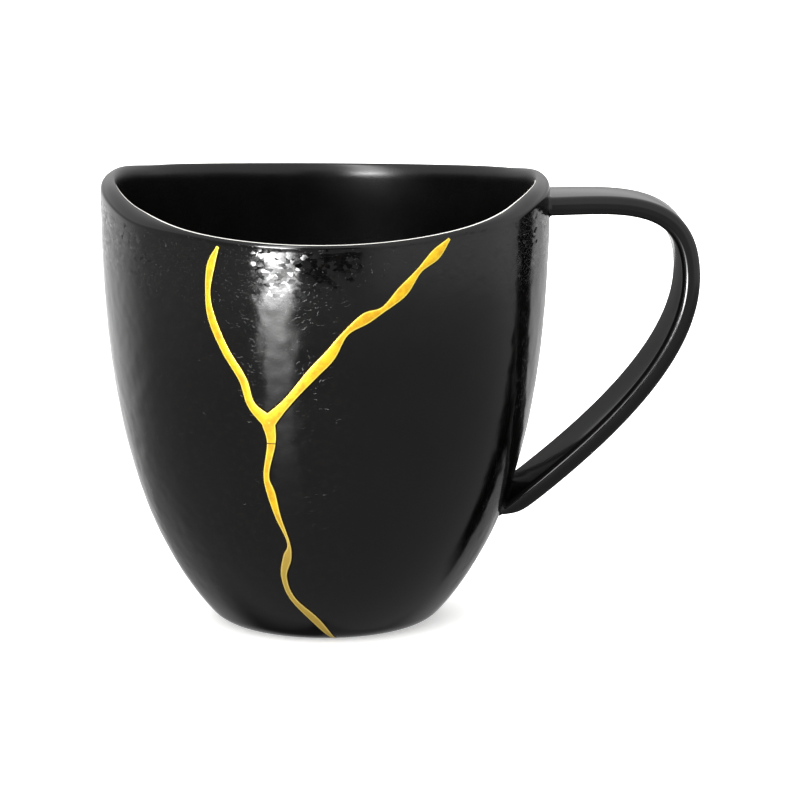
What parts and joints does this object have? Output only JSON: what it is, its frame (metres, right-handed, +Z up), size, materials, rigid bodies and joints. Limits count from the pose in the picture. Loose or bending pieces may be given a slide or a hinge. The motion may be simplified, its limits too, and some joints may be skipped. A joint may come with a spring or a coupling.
{
  "type": "porcelain coffee cup",
  "caption": "Round black-glazed porcelain coffee cup with a waved rim, a strap handle and a gold crack seam on the front.",
  "frame": {"origin": "under the middle of the whole cup, on the surface that it stands on", "axes": "+X from the body towards the handle, +Z up, -Y the side with the gold seam"},
  "size_m": [0.1066, 0.08, 0.0805],
  "materials": {
    "black_glaze": "black satin glaze over porcelain: finely pitted and leathery on the outside wall, smooth on lip, handle and inside",
    "gold_seam": "fired gold lustre on a thin raised seam"
  },
  "bodies": {
    "root": {"cup": "black_glaze"}
  },
  "joints": []
}
